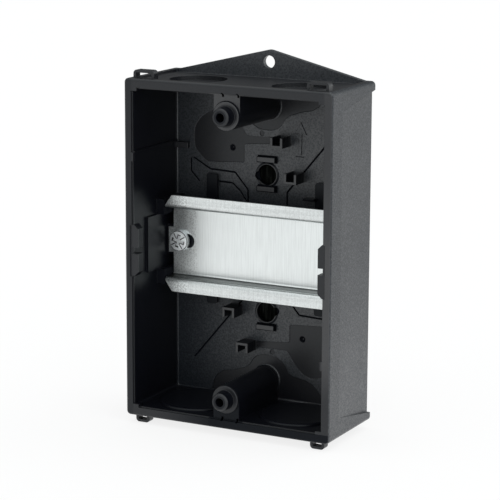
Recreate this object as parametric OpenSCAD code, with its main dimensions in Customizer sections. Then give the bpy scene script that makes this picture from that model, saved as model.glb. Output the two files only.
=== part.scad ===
// Base of a wall-mounted switch enclosure with a top-hat mounting rail.
// Millimetres. +X right, +Z up, the open front faces -Y.
// The origin is the centre of the rear face that lies on the wall.

/* [Shell] */
// Width across the front rim
shell_w = 80; // [76:1:110]
// Height of the box without lug and loops
shell_h = 121; // [118:1:160]
// Depth from the wall face to the front rim
shell_d = 34.5; // [32:0.5:50]
// Radius of the outer corners that run front to back
corner_r = 1.5; // [1.2:0.1:3]
// Rounding of the outer front edge
rim_round = 1; // [0.4:0.1:1.2]
// Thickness of the side walls at the rim
side_wall = 3.2; // [2.6:0.1:3.6]
// Thickness of the top and bottom walls
end_wall = 3.5; // [3:0.1:4.5]
// Thickness of the back wall
back_wall = 2.6; // [2.2:0.1:4]
// Radius of the cavity's corners that run front to back
cavity_r = 1; // [0.8:0.1:2]
// Fillet between the back wall and what rises from it
floor_r = 0.5; // [0.3:0.1:0.7]

/* [Rim] */
// Width of the step just inside the rim
rim_step_w = 0.4; // [0.2:0.1:0.8]
// Depth of the step just inside the rim
rim_step_d = 0.75; // [0.4:0.05:1.5]
// Width of the block that fills each corner of the rim step
rim_block_w = 2.3; // [1.5:0.1:4]
// Height of the block that fills each corner of the rim step
rim_block_h = 1.2; // [0.8:0.1:2]
// Front-to-back length of the corner block
rim_block_d = 3; // [1:0.5:6]
// Length of the pair of catch blocks in each side of the rim
catch_len = 18.5; // [12:0.5:26]
// Gap between the two catch blocks
catch_gap = 2.3; // [1.5:0.1:4]
// How far the catch blocks stand into the opening
catch_proud = 2.2; // [1:0.1:2.4]
// Corner cut at the outer ends of the catch blocks
catch_chamfer = 1.5; // [0.5:0.1:2]
// Front-to-back length of the catch blocks
catch_d = 3.5; // [2:0.5:6]
// How far the notch for the catch blocks goes into the rim
catch_cut = 0.75; // [0.4:0.05:1.2]
// Distance of the catch blocks' faces behind the rim
catch_setback = 0.5; // [0.3:0.1:1.5]
// Distance of the catch blocks' middle below mid-height
catch_drop = 0.45; // [0:0.05:3]
// Length of the tab that bridges the rim step
tab_len = 3.1; // [2:0.1:5]
// Height of that tab's middle above the centre
tab_rise = 33; // [26:1:40]

/* [Side draft] */
// Inset of each side wall at the wall face
draft_inset = 1.2; // [0.4:0.1:1.4]
// Distance behind the rim at which the draft begins
draft_start = 8.2; // [4:0.2:14]
// Height of the full-width end slab where the draft begins
slab_front_h = 7.6; // [5:0.2:12]
// Height of the full-width end slab at the wall face
slab_back_h = 3; // [2:0.1:4.5]

/* [End trays] */
// Depth of the shallow tray in the top and bottom faces
tray_depth = 1.1; // [0.4:0.1:1.4]
// Width of the bead left standing along each side of the tray
tray_bead = 3.1; // [2:0.1:5]
// Width of the lip left standing along the front of the tray
tray_lip = 2.5; // [1.5:0.1:5]

/* [Lug] */
// Length of the lug along the top edge
lug_w = 73; // [40:1:73]
// Height of the lug above the box
lug_rise = 8.7; // [8:0.1:16]
// Thickness of the lug
lug_t = 2; // [1.5:0.1:4]
// Radius of the rounded apex
lug_apex_r = 4; // [3.4:0.1:6]
// Diameter of the fixing hole
lug_hole_d = 4.5; // [3:0.1:5.5]
// Height of the fixing hole above the box
lug_hole_rise = 4.5; // [4:0.1:6]

/* [Knock-outs] */
// Diameter of the knock-out recess
knockout_d = 20.4; // [12:0.2:22]
// Centre distance of the two knock-outs
knockout_pitch = 40; // [34:1:42]
// Distance of the knock-out centres from the wall face
knockout_back = 17; // [14.5:0.5:20]
// Depth of the recess below the tray
knockout_depth = 1.7; // [0.4:0.1:2]
// Diameter of the round pad on the inner face
knockout_pad_d = 28; // [24:0.5:28]
// Width of that pad's sloping edge
knockout_pad_slope = 1.6; // [0.6:0.1:3]
// Height of that pad
knockout_pad_h = 0.6; // [0.3:0.1:1]

/* [Corner loops] */
// Distance of an upper loop's middle from the side of the box
loop_inset = 6.6; // [6:0.2:14]
// Width of an upper loop
loop_w = 8.2; // [7:0.2:10]
// Distance of a lower loop's middle from the side of the box
low_loop_inset = 5.4; // [5:0.2:14]
// Width of a lower loop
low_loop_w = 5.4; // [4.4:0.2:8]
// Height of a loop above the face it stands on
loop_h = 2.8; // [2:0.1:6]
// Thickness of the loop's bar
loop_bar = 1; // [0.8:0.1:1.6]
// Front-to-back length of a loop
loop_d = 3; // [1.5:0.1:5]
// Distance of a loop behind the rim
loop_setback = 2.5; // [1:0.1:6]
// Outer corner radius of a loop
loop_r = 1.3; // [0.6:0.1:1.5]

/* [Cover posts] */
// Distance of the post axis from the cavity's end wall
post_inset = 7.2; // [6:0.1:10]
// Diameter of the post
post_d = 10; // [9:0.2:12]
// Setback of the post's web behind the rim
post_web_setback = 1; // [0.5:0.1:4]
// Edge rounding of the post's ring face
post_edge = 0.2; // [0.1:0.1:0.8]
// Diameter of the screw boss at its root
boss_root_d = 7; // [6.4:0.1:8]
// Diameter of the screw boss at its tip
boss_tip_d = 6.3; // [5:0.1:6.4]
// Edge cut at the tip of the screw boss
boss_edge = 0.4; // [0.1:0.1:0.8]
// Length of the screw boss in front of the rim
boss_rise = 4; // [3:0.5:10]
// Diameter of the screw hole
boss_hole_d = 3.2; // [2.5:0.1:4]
// Depth of the screw hole from the boss tip
boss_hole_depth = 14; // [8:0.5:20]
// Width of each slit beside the rim
post_slit_w = 0.8; // [0.5:0.1:1.2]
// Height of each slit
post_slit_h = 1.4; // [0.8:0.1:2]
// Front-to-back depth of each slit behind the web's face
post_slit_d = 2; // [1:0.5:4]
// Centre distance of the two slits
post_slit_pitch = 5.9; // [4:0.1:6]
// Sideways offset of the pair of slits
post_slit_shift = 1.5; // [0:0.1:1.5]

/* [Rail] */
// Width of the rail across its flanges
rail_w = 35; // [30:0.5:40]
// Width across the outside of the hat
rail_hat_w = 27; // [20:0.5:28]
// Height of the rail
rail_h = 7.5; // [6:0.5:15]
// Sheet thickness
rail_t = 1; // [0.8:0.1:1.5]
// Inner radius of the bends
rail_bend_r = 0.8; // [0.4:0.1:1.2]
// Height of the rail's web above the wall face
rail_seat = 11; // [9:0.5:14]
// Gap between the rail's tongue and the support pad
rail_end_gap = 0.9; // [0.3:0.1:2]
// Length of the tongue at each end of the rail
tongue_len = 2; // [1:0.1:3]
// Width of the tongue
tongue_w = 9.2; // [8:0.1:14]
// Corner cut of the flanges along the rail
flange_cut_x = 2.8; // [1:0.1:5]
// Width of the slotted hole
slot_w = 5.3; // [4.6:0.1:6]
// Length of the slotted hole
slot_len = 8; // [7.6:0.1:10]
// Distance of the slot's middle inward of the screw
slot_shift = 1.7; // [0:0.1:1.9]

/* [Rail supports] */
// Thickness of the pad on each side wall
pad_t = 0.9; // [0.5:0.1:1.5]
// Height of the pad
pad_h = 20; // [14:0.5:21]
// Distance of the pad's front edge behind the rim
pad_setback = 9.3; // [6:0.1:14]
// Height of each stop block above and below the pad
stop_h = 5.5; // [3:0.1:8]
// Gap between a stop block and the end of the rail
stop_gap = 0.6; // [0.3:0.1:1.2]
// Height of the column that carries the rail's web
column_h = 11; // [9:0.2:14]
// Length of the column inward of the screw
column_reach = 4.8; // [4:0.1:8]

/* [Rail screws] */
// Distance of the screw from the tongue's tip
screw_inset = 4.8; // [4:0.1:7]
// Diameter of the shank
screw_d = 4; // [3:0.1:4.4]
// Length of the shank under the head
screw_len = 8; // [6:0.5:8]
// Diameter of the head
head_d = 6.6; // [6.2:0.1:8]
// Height of the head
head_h = 2.1; // [2:0.1:3.2]
// Height of the slight crown on the head
head_crown = 0.3; // [0.2:0.1:1.2]
// Length of the driver slot across the head
recess_len = 4.8; // [4:0.1:5.6]
// Width of the driver slot
recess_w = 1; // [0.8:0.1:1.4]
// Depth of the driver slot
recess_depth = 1.3; // [0.8:0.1:1.6]
// Radial gap between shank and pilot hole
pilot_gap = 0.05; // [0.02:0.01:0.2]
// Depth left below the screw's tip
pilot_spare = 0.6; // [0.3:0.1:1]

/* [Back wall relief] */
// Distance of the blind sockets from the centre
socket_rise = 25; // [22:0.5:28]
// Diameter of the blind sockets
socket_d = 7.4; // [6:0.2:8]
// Thickness of the membrane at the bottom of a socket
socket_skin = 0.6; // [0.4:0.1:1.2]
// Width of the collar round a socket at its foot
socket_collar_w = 0.9; // [0.8:0.1:1.2]
// Width of the collar's sloping side
socket_collar_slope = 0.6; // [0.2:0.1:0.7]
// Height of the collar round a socket
socket_collar_h = 0.6; // [0.3:0.1:1.2]
// Diameter of the round notch beside a socket
socket_notch_d = 3; // [2:0.1:3.4]
// Depth of that notch below the back wall's face
socket_notch_depth = 1; // [0.4:0.1:1.4]
// Distance of the outer bar from the socket's middle
bar_offset = 5.5; // [5.2:0.1:7]
// Distance of the inner bar from the socket's middle
bar_near_offset = 5; // [4.8:0.1:6]
// Length of a bar beside a socket
bar_len = 7.2; // [4:0.1:9]
// Width of a bar
bar_w = 2; // [1:0.1:2.4]
// Height of a bar
bar_h = 1.6; // [0.8:0.1:3]
// Width of a wire clip
clip_w = 4.8; // [4:0.1:6]
// Depth of a wire clip's channel with its floor
clip_l = 3.6; // [3:0.1:5]
// Thickness of a wire clip's walls
clip_wall = 0.9; // [0.7:0.1:1.2]
// Height of a wire clip
clip_h = 6.8; // [4:0.1:9]
// Length of the thin fin beside each strip
fin_len = 3.6; // [2:0.1:5]
// Thickness of the fin
fin_t = 0.8; // [0.6:0.1:1.2]
// Height of the fin above the back wall
fin_h = 4; // [2:0.1:6]
// Distance of the fin from mid-height
fin_rise = 18; // [16:0.5:22]
// Width of the long raised strips
strip_w = 4.3; // [2:0.1:5]
// Length of the long raised strips
strip_len = 47.8; // [40:0.2:54]
// Height of the long raised strips
strip_h = 1.6; // [0.8:0.1:3]
// Distance of the strips' middle from the centre
strip_offset = 21.6; // [20:0.1:22]
// Corner radius of the strips
strip_r = 0.9; // [0.4:0.1:1]
// Width of the moulded lines
line_w = 0.6; // [0.4:0.1:1]
// Depth of the moulded lines
line_d = 0.5; // [0.3:0.1:1]
// Depth of the smooth fields in the back wall
field_depth = 0.25; // [0.1:0.05:0.4]
// Diameter of the drilling dimples
dimple_d = 2.4; // [1.5:0.1:3]
// Depth of the drilling dimples
dimple_depth = 1; // [0.5:0.1:1.2]
// Diameter of the ejector marks
mark_d = 1.9; // [1:0.1:3]
// Depth of the ejector marks
mark_depth = 0.3; // [0.1:0.1:0.6]
// Thickness of the thin rib on each side wall
rib_t = 0.6; // [0.4:0.1:1]
// How far that rib stands off the wall
rib_proud = 0.5; // [0.3:0.1:0.8]
// Height of that rib above the centre
rib_rise = 34.7; // [30:0.1:38]
// Length of the foot at the rib's rear end
foot_len = 5.5; // [3:0.1:7]
// Height of the foot above the back wall
foot_h = 2; // [1:0.1:4]

/* [Hidden] */
$fn = 64;

// Overshoot of cuts and of joints between merged shapes
cut = 1;
sink = 0.6;

// Outline of the smooth field round a drilling dimple, right and up from the centre
dimple_field = [
    [-29.7, 33], [-29.7, 39.6], [-28.4, 42], [-26.6, 44], [-24.4, 45.5], [-21.6, 46.9], [-18.4, 47.6],
    [-15.6, 47], [-13.6, 45.6], [-11.8, 43.6], [-9.9, 41], [-8.8, 39], [-7.4, 38.3], [2.6, 38.5],
    [4.7, 38.5], [4.7, 36.2], [2.6, 36.2], [-7, 35.5], [-9.2, 35.3], [-9.2, 33.2], [-9.2, 30.4],
    [-9.2, 28.6], [-11, 28.6], [-22.6, 27.9], [-24.4, 27.9], [-28, 31]
];

// Lower edge of the smooth field behind the top post, right and up from the post's axis
post_field = [
    [-21.7, 3.4], [-20.4, 1.6], [-18.7, 0], [-16.1, -1.2], [-10.8, -2.2], [-8.8, -3.2], [-7.8, -5.4],
    [-6.2, -7.2], [-4, -8.4], [-1.7, -8.9], [1.5, -8.9], [3.8, -8.2], [5.4, -6.8], [6.8, -4.6],
    [8.6, -3.2], [12.9, -1.7], [17.6, -0.8], [20.3, 1], [21.6, 3.4]
];
field_half = 22.2;
corner_share = 0.25;

// Where the marks, the moulded lines and the clips lie, right and up from the centre
dimple_at = [-14.2, 33.6];
mark_at = [-2.3, 39.65];
notch_at = [-3.5, -0.6];
clip_at = [[6.65, 37.65], [12.15, 25.25]];
channel_line = [[-30, 29], [-23, 25.2], [-13, 24.8], [-7.8, 18.8], [-7.8, -19.2], [-29.6, -45.2]];
inner_line = [[-19.5, 21], [-14, 20.8], [-11, 18.3], [-8.3, 14.6]];
edge_line = [[-31, 28.7], [-31, 24], [-27.5, 20.4]];

// Extents of the cavity and of the walls around it
cavity_w = shell_w - 2 * side_wall;
cavity_h = shell_h - 2 * end_wall;
cavity_d = shell_d - back_wall;
rim_open_w = cavity_w + 2 * rim_step_w;
rim_open_h = cavity_h + 2 * rim_step_w;
post_rise = cavity_h / 2 - post_inset;

// Rail and screw positions, measured from the centre
pad_face = cavity_w / 2 - pad_t;
tongue_tip = pad_face - rail_end_gap;
rail_end = tongue_tip - tongue_len;
screw_x = tongue_tip - screw_inset;
slot_x = screw_x - slot_shift;
web_front = rail_seat + rail_t;
rail_front = rail_seat + rail_h;
flange_back = rail_front - rail_t;
flange_cut_z = (rail_w - rail_hat_w) / 2;
pilot_r = screw_d / 2 + pilot_gap;
pilot_floor = web_front - screw_len - pilot_spare;

// Turns (right, up, towards the front) into the standing frame
module standing() {
    rotate([90, 0, 0])
        children();
}

// The shape and its copy turned half a turn about the front-to-back axis
module turned_pair() {
    children();
    rotate([0, 0, 180])
        children();
}

// The shape and its copy on the other side
module side_pair() {
    children();
    mirror([1, 0, 0])
        children();
}

// The shape and its copy at the other end
module end_pair() {
    children();
    mirror([0, 1, 0])
        children();
}

// Box with its lowest corner at a point, given by its sides
module block(low, high) {
    translate(low)
        cube(high - low);
}

// Rectangle with round corners, centred
module round_rect(w, h, r) {
    square([w - 2 * r, h], center = true);
    square([w, h - 2 * r], center = true);
    for (x = [-1, 1], y = [-1, 1])
        translate([x * (w / 2 - r), y * (h / 2 - r)])
            circle(r);
}

// Section of a wall of a given half width with a round front edge
module edge_section(half, depth, r) {
    translate([-half, 0])
        square([2 * half, depth - r]);
    translate([-half + r, 0])
        square([2 * (half - r), depth]);
    for (x = [-1, 1])
        translate([x * (half - r), depth - r])
            circle(r);
}

// Solid block with round corners and a round front edge
module soft_block(w, h, depth, r, edge) {
    translate([0, h / 2 - r, 0])
        rotate([90, 0, 0])
            linear_extrude(h - 2 * r)
                edge_section(w / 2, depth, edge);
    translate([-w / 2 + r, 0, 0])
        rotate([90, 0, 90])
            linear_extrude(w - 2 * r)
                edge_section(h / 2, depth, edge);
    for (x = [-1, 1], y = [-1, 1])
        translate([x * (w / 2 - r), y * (h / 2 - r), 0])
            corner_column(depth, r, edge);
}

// One outer corner of such a block, turned about its own axis
module corner_column(depth, r, edge) {
    rotate_extrude()
        intersection() {
            edge_section(r, depth, edge);
            square([r, depth]);
        }
}

// Wedge that drafts one side wall between the full-width end slabs
module draft_wedge() {
    front = shell_d - draft_start;
    intersection() {
        translate([0, shell_h / 2, 0])
            rotate([90, 0, 0])
                linear_extrude(shell_h)
                    polygon([
                        [shell_w / 2, front],
                        [shell_w / 2 + cut, front],
                        [shell_w / 2 + cut, 0],
                        [shell_w / 2 - draft_inset, 0]
                    ]);
        translate([shell_w / 2 - draft_inset - cut, 0, 0])
            rotate([90, 0, 90])
                linear_extrude(draft_inset + 2 * cut)
                    polygon([
                        [-shell_h / 2 + slab_front_h, front],
                        [shell_h / 2 - slab_front_h, front],
                        [shell_h / 2 - slab_back_h, 0],
                        [-shell_h / 2 + slab_back_h, 0]
                    ]);
    }
}

// Shallow tray and two round knock-out recesses in the top face
module end_tray() {
    tray_half = shell_w / 2 - tray_bead;
    tray_floor = shell_h / 2 - tray_depth;
    block([-tray_half, tray_floor, lug_t], [tray_half, shell_h / 2 + cut, shell_d - tray_lip]);
    side_pair()
        translate([knockout_pitch / 2, tray_floor - knockout_depth, knockout_back])
            rotate([-90, 0, 0])
                cylinder(d = knockout_d, h = knockout_depth + cut);
}

// Round pads behind the knock-outs on the inner face of the top wall
module knockout_pads() {
    side_pair()
        translate([knockout_pitch / 2, cavity_h / 2, knockout_back])
            rotate([90, 0, 0]) {
                cylinder(d1 = knockout_pad_d, d2 = knockout_pad_d - 2 * knockout_pad_slope, h = knockout_pad_h);
                translate([0, 0, -sink])
                    cylinder(d = knockout_pad_d, h = sink);
            }
}

// Hanging lug with a round apex and a fixing hole
module lug() {
    apex = [0, shell_h / 2 + lug_rise - lug_apex_r];
    foot = [lug_w / 2, shell_h / 2];
    reach = norm(foot - apex);
    slope = atan2(apex[1] - foot[1], foot[0]) + asin(lug_apex_r / reach);
    touch = apex + lug_apex_r * [sin(slope), cos(slope)];
    root = shell_h / 2 - tray_depth - sink;
    linear_extrude(lug_t)
        difference() {
            union() {
                polygon([
                    [-foot[0], root],
                    [foot[0], root],
                    foot,
                    touch,
                    [-touch[0], touch[1]],
                    [-foot[0], foot[1]]
                ]);
                translate(apex)
                    circle(lug_apex_r);
            }
            translate([0, shell_h / 2 + lug_hole_rise])
                circle(d = lug_hole_d);
        }
}

// Loop of a given width on the top face, at a given distance from the right side
module corner_loop(w, inset) {
    outer_h = loop_h + end_wall / 2;
    middle = shell_w / 2 - inset;
    translate([middle, shell_h / 2 + loop_h - outer_h / 2, shell_d - loop_setback - loop_d])
        linear_extrude(loop_d)
            difference() {
                round_rect(w, outer_h, loop_r);
                translate([-w / 2 + loop_bar, -outer_h / 2 - cut])
                    square([w - 2 * loop_bar, outer_h - loop_bar + cut]);
            }
}

// Post for a cover screw at the top end, with its boss in front of the rim
module cover_post() {
    r = post_d / 2;
    translate([0, post_rise, back_wall - sink])
        rotate_extrude()
            polygon([
                [0, 0],
                [r, 0],
                [r, cavity_d + sink - post_edge],
                [r - post_edge, cavity_d + sink],
                [boss_root_d / 2, cavity_d + sink],
                [boss_tip_d / 2, cavity_d + sink + boss_rise - boss_edge],
                [boss_tip_d / 2 - boss_edge, cavity_d + sink + boss_rise],
                [0, cavity_d + sink + boss_rise]
            ]);
    translate([0, post_rise, back_wall])
        rotate_extrude()
            translate([r, 0])
                difference() {
                    translate([-sink, -sink])
                        square(floor_r + sink);
                    translate([floor_r, floor_r])
                        circle(floor_r);
                }
    block([-r, post_rise, back_wall - sink], [r, cavity_h / 2 + sink, shell_d - post_web_setback]);
}

// Screw hole of the top post and the two slits beside the rim
module cover_post_cuts() {
    tip = shell_d + boss_rise;
    translate([0, post_rise, tip - boss_hole_depth])
        cylinder(d = boss_hole_d, h = boss_hole_depth + cut);
    for (x = [-1, 1])
        translate([post_slit_shift + x * post_slit_pitch / 2 - post_slit_w / 2, 0, 0])
            block(
                [0, cavity_h / 2 - post_slit_h / 2, shell_d - post_web_setback - post_slit_d],
                [post_slit_w, cavity_h / 2 + post_slit_h / 2, shell_d + cut]
            );
}

// Step inside the rim, and the notches for the catch blocks
module rim_cuts() {
    translate([0, 0, shell_d - rim_step_d])
        linear_extrude(rim_step_d + cut)
            round_rect(rim_open_w, rim_open_h, cavity_r);
    side_pair()
        block(
            [cavity_w / 2, -catch_drop - catch_len / 2, shell_d - catch_setback],
            [rim_open_w / 2 + catch_cut, -catch_drop + catch_len / 2, shell_d + cut]
        );
}

// Front view of the upper catch block on the right, from the middle of the pair
module catch_outline() {
    face = rim_open_w / 2 - catch_proud;
    root = rim_open_w / 2 + sink;
    polygon([
        [root, catch_gap / 2],
        [face, catch_gap / 2],
        [face, catch_len / 2 - catch_chamfer],
        [face + catch_chamfer, catch_len / 2],
        [root, catch_len / 2]
    ]);
}

// Corner blocks, tabs and catch blocks that stand in the rim step
module rim_fills() {
    end_pair()
        side_pair()
            block(
                [rim_open_w / 2 - rim_block_w, rim_open_h / 2 - rim_block_h, shell_d - rim_block_d],
                [rim_open_w / 2 + sink, rim_open_h / 2 + sink, shell_d]
            );
    turned_pair()
        block(
            [-rim_open_w / 2 - sink, tab_rise - tab_len / 2, shell_d - rim_step_d - sink],
            [-cavity_w / 2 + rim_step_w, tab_rise + tab_len / 2, shell_d]
        );
    side_pair()
        translate([0, -catch_drop, shell_d - catch_setback - catch_d])
            linear_extrude(catch_d)
                end_pair()
                    catch_outline();
}

// Pad, stop blocks and screw column that hold the right end of the rail
module rail_support() {
    wall = cavity_w / 2 + sink;
    floor_z = back_wall - sink;
    stop_face = rail_end + stop_gap;
    block([pad_face, -pad_h / 2, floor_z], [wall, pad_h / 2, shell_d - pad_setback]);
    end_pair()
        block([stop_face, pad_h / 2, floor_z], [wall, pad_h / 2 + stop_h, flange_back]);
    block([screw_x - column_reach, -column_h / 2, floor_z], [wall, column_h / 2, rail_seat]);
}

// Blind sockets with collars, and the bars above and below them
module socket_relief() {
    foot_d = socket_d + 2 * socket_collar_w;
    translate([0, socket_rise, back_wall])
        cylinder(d1 = foot_d, d2 = foot_d - 2 * socket_collar_slope, h = socket_collar_h);
    translate([0, socket_rise, back_wall - sink])
        cylinder(d = foot_d, h = sink);
    for (y = [bar_offset, -bar_near_offset])
        translate([0, socket_rise + y, 0])
            block([-bar_len / 2, -bar_w / 2, back_wall - sink], [bar_len / 2, bar_w / 2, back_wall + bar_h]);
}

// Two wire clips, each a channel that is open at the top, and the fin beside the right strip
module wire_clips() {
    strip_side = strip_offset - strip_w / 2;
    block(
        [strip_side - fin_len, fin_rise - fin_t / 2, back_wall - sink],
        [strip_side + sink, fin_rise + fin_t / 2, back_wall + fin_h]
    );
    for (p = clip_at)
        translate([p[0], p[1], back_wall - sink])
            linear_extrude(clip_h + sink)
                difference() {
                    square([clip_w, clip_l], center = true);
                    translate([-clip_w / 2 + clip_wall, -clip_l / 2 + clip_wall])
                        square([clip_w - 2 * clip_wall, clip_l]);
                }
}

// Long raised strip, wall rib and its foot on the left side
module left_relief() {
    translate([-strip_offset, 0, back_wall - sink])
        linear_extrude(strip_h + sink)
            round_rect(strip_w, strip_len, strip_r);
    block(
        [-cavity_w / 2 - sink, rib_rise - rib_t / 2, back_wall - sink],
        [-cavity_w / 2 + rib_proud, rib_rise + rib_t / 2, shell_d - rim_step_d]
    );
    block(
        [-cavity_w / 2 - sink, rib_rise - rib_t / 2 - foot_h, back_wall - sink],
        [-cavity_w / 2 + foot_len, rib_rise - rib_t / 2, back_wall + foot_h]
    );
}

// Closed outline with its corners cut back
function softened(points) = [
    for (i = [0 : len(points) - 1])
        let (here = points[i], after = points[(i + 1) % len(points)])
            each [here + (after - here) * corner_share, after - (after - here) * corner_share]
];

// Shallow smooth fields, one round a drilling dimple and one behind the top post
module smooth_fields() {
    top = post_inset - floor_r;
    translate([0, 0, back_wall - field_depth])
        linear_extrude(field_depth + cut) {
            polygon(softened(softened(dimple_field)));
            translate([0, post_rise])
                polygon(concat([[field_half, top], [-field_half, top]], post_field));
        }
}

// Sunk line along a run of points
module sunk_line(points) {
    for (i = [0 : len(points) - 2]) {
        run = points[i + 1] - points[i];
        translate([points[i][0], points[i][1], back_wall - line_d])
            rotate([0, 0, atan2(run[1], run[0])])
                block([0, -line_w / 2, 0], [norm(run), line_w / 2, line_d + cut]);
    }
}

// All sunk lines, left side of the back wall
module sunk_lines() {
    sunk_line(channel_line);
    sunk_line(inner_line);
    sunk_line(edge_line);
}

// Drilling dimple, ejector mark, socket bore and its notch, upper half of the back wall
module relief_cuts() {
    translate([dimple_at[0], dimple_at[1], back_wall - field_depth - dimple_depth])
        cylinder(d1 = 0, d2 = dimple_d, h = dimple_depth);
    translate([mark_at[0], mark_at[1], back_wall - mark_depth])
        cylinder(d = mark_d, h = mark_depth + cut);
    translate([0, socket_rise, socket_skin])
        cylinder(d = socket_d, h = back_wall + socket_collar_h - socket_skin + cut);
    translate([notch_at[0], socket_rise + notch_at[1], back_wall - socket_notch_depth])
        cylinder(d = socket_notch_d, h = socket_notch_depth + socket_collar_h + cut);
}

// Black moulded base
module enclosure_base() {
    color("#1b1c1e")
        standing()
            difference() {
                union() {
                    difference() {
                        soft_block(shell_w, shell_h, shell_d, corner_r, rim_round);
                        translate([0, 0, shell_d + cut])
                            mirror([0, 0, 1])
                                soft_block(cavity_w, cavity_h, cavity_d + cut, cavity_r, floor_r);
                        turned_pair() {
                            sunk_lines();
                            smooth_fields();
                        }
                        rim_cuts();
                        side_pair()
                            draft_wedge();
                        end_pair()
                            end_tray();
                    }
                    lug();
                    side_pair() {
                        corner_loop(loop_w, loop_inset);
                        mirror([0, 1, 0])
                            corner_loop(low_loop_w, low_loop_inset);
                    }
                    end_pair() {
                        cover_post();
                        knockout_pads();
                    }
                    side_pair()
                        rail_support();
                    rim_fills();
                    turned_pair() {
                        socket_relief();
                        wire_clips();
                        left_relief();
                    }
                }
                end_pair()
                    cover_post_cuts();
                turned_pair()
                    relief_cuts();
                side_pair()
                    translate([screw_x, 0, pilot_floor])
                        cylinder(r = pilot_r, h = rail_seat - pilot_floor + cut);
            }
}

// Quarter bend of the sheet about the origin, in the first quadrant
module bend_section() {
    intersection() {
        difference() {
            circle(rail_bend_r + rail_t);
            circle(rail_bend_r);
        }
        square(rail_bend_r + rail_t);
    }
}

// Upper half of the rail's section: up from the middle, and towards the front
module rail_half_section() {
    bend = rail_bend_r + rail_t;
    hat = rail_hat_w / 2;
    square([hat - bend, rail_t]);
    translate([hat - bend, bend])
        mirror([0, 1])
            bend_section();
    translate([hat - rail_t, bend])
        square([rail_t, rail_h - 2 * bend]);
    translate([hat - rail_t + bend, rail_h - bend])
        mirror([1, 0])
            bend_section();
    translate([hat - rail_t + bend, rail_h - rail_t])
        square([rail_w / 2 - hat + rail_t - bend, rail_t]);
}

// Front view of the rail: cut flange corners and a tongue at each end
module rail_outline() {
    half_w = rail_w / 2;
    right = [
        [rail_end - flange_cut_x, -half_w],
        [rail_end, -half_w + flange_cut_z],
        [rail_end, -tongue_w / 2],
        [tongue_tip, -tongue_w / 2],
        [tongue_tip, tongue_w / 2],
        [rail_end, tongue_w / 2],
        [rail_end, half_w - flange_cut_z],
        [rail_end - flange_cut_x, half_w]
    ];
    polygon(concat(right, -right));
}

// Slotted hole through the web at the right end
module rail_slot() {
    run = slot_len - slot_w;
    translate([slot_x, 0, rail_seat - cut])
        linear_extrude(rail_t + 2 * cut) {
            square([run, slot_w], center = true);
            for (x = [-1, 1])
                translate([x * run / 2, 0])
                    circle(d = slot_w);
        }
}

// Folded top-hat rail
module mounting_rail() {
    color("#c4c8ca")
        standing()
            difference() {
                intersection() {
                    translate([-tongue_tip, 0, rail_seat])
                        rotate([90, 0, 90])
                            linear_extrude(2 * tongue_tip)
                                side_pair()
                                    rail_half_section();
                    translate([0, 0, rail_seat - cut])
                        linear_extrude(rail_h + 2 * cut)
                            rail_outline();
                }
                side_pair()
                    rail_slot();
            }
}

// Pan-head screw with a combined cross and slot, standing on its tip
module screw() {
    crown_r = (head_d * head_d / 4 + head_crown * head_crown) / (2 * head_crown);
    difference() {
        union() {
            translate([0, 0, -screw_len])
                cylinder(d = screw_d, h = screw_len + sink);
            intersection() {
                cylinder(d = head_d, h = head_h);
                translate([0, 0, head_h - crown_r])
                    sphere(crown_r);
            }
        }
        for (turn = [0, 90])
            rotate([0, 0, turn])
                translate([0, 0, head_h - recess_depth / 2 + cut / 2])
                    cube([recess_len, recess_w, recess_depth + cut], center = true);
    }
}

// The two screws that hold the rail down
module rail_screws() {
    color("#d5d8da")
        standing()
            side_pair()
                translate([screw_x, 0, web_front])
                    screw();
}

enclosure_base();
mounting_rail();
rail_screws();
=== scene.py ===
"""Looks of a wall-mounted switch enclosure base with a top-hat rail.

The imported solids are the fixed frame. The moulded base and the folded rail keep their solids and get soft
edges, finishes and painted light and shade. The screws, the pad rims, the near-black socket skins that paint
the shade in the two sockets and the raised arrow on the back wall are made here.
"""

import math

import bmesh
import bpy
from bpy.props import FloatProperty, FloatVectorProperty, IntProperty, PointerProperty
from mathutils import Matrix, Vector


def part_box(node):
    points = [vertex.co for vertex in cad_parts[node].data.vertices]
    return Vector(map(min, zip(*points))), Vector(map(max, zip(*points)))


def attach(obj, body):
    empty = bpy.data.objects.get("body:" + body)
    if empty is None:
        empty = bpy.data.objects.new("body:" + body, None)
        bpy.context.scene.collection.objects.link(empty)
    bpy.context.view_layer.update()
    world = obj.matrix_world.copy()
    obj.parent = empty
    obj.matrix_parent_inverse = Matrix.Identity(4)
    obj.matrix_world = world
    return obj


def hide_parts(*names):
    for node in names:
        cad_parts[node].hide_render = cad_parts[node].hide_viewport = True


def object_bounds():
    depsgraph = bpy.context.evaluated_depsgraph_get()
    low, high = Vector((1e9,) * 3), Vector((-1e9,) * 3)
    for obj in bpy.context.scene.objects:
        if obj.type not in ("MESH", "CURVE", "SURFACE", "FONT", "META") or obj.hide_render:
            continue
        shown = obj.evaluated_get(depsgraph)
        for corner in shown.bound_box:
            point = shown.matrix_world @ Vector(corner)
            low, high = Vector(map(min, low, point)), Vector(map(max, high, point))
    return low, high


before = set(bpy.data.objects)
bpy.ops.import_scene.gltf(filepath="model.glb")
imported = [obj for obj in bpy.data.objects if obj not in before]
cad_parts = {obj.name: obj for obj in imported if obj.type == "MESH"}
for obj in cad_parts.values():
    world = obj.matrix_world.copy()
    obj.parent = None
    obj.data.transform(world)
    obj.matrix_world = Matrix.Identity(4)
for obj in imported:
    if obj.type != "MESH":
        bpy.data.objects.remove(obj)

CAD_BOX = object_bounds()
MM = 0.001
BODY = "root"
BASE, RAIL, SCREWS = "enclosure_base", "mounting_rail", "rail_screws"
# How far from a face's place a point still counts as lying on the face
FACE = 0.1 * MM
# Turn that points a shape's own Z axis out of the open front
UPRIGHT = Matrix.Rotation(math.radians(90), 4, "X")
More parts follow.
